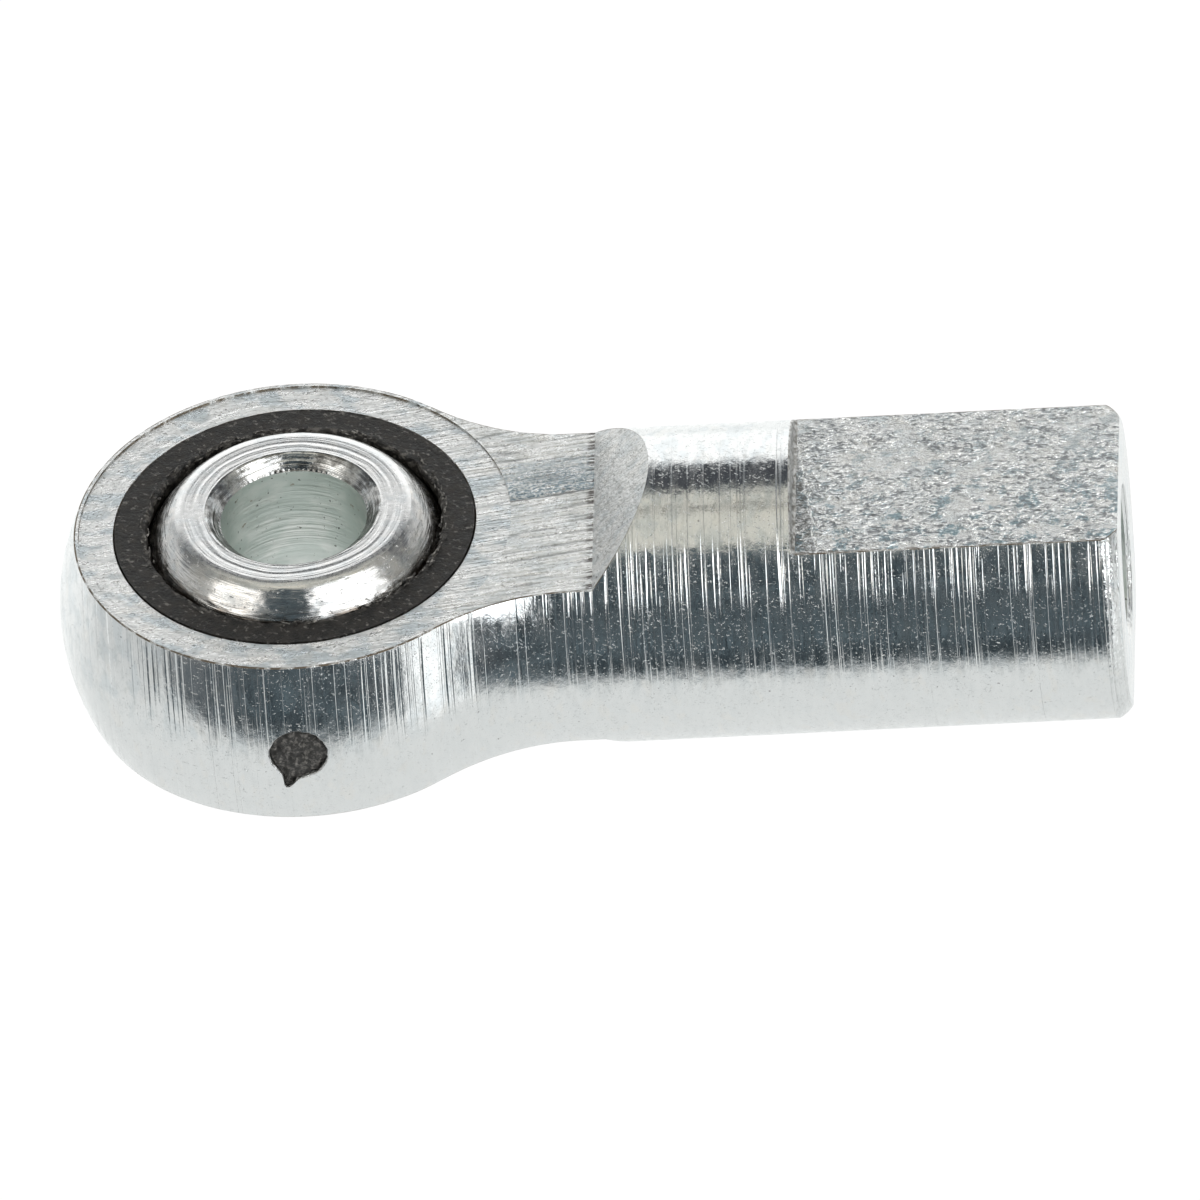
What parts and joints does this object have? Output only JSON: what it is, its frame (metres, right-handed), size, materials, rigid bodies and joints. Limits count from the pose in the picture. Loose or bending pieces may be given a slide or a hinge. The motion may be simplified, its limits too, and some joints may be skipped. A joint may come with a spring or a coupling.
{
  "type": "rod end bearing",
  "caption": "Female rod end bearing: plated steel eye with a moulded plastic race, a swivelling bored ball and a tapped shank with wrench flats.",
  "frame": {"origin": "centre of the ball, on the axis of its bore, midway between its faces", "axes": "+X along the shank towards its tapped end, +Z along the axis of the ball's bore, +Y across the head, away from the gate hole"},
  "size_m": [0.0351, 0.0158, 0.0102],
  "materials": {
    "body": "bright zinc plate over turned and milled steel",
    "race": "black moulded plastic",
    "ball": "polished sphere, finely turned faces, bright zinc plate"
  },
  "bodies": {
    "ball": {"ball": "ball"},
    "rod_end": {"body": "body", "race": "race"}
  },
  "joints": [
    {"name": "misalignment_tilt", "type": "hinge", "parent": "ball", "child": "rod_end", "pos_m": [0, 0, 0], "axis": [1, 0, 0], "range_deg": [-13, 13]}
  ]
}
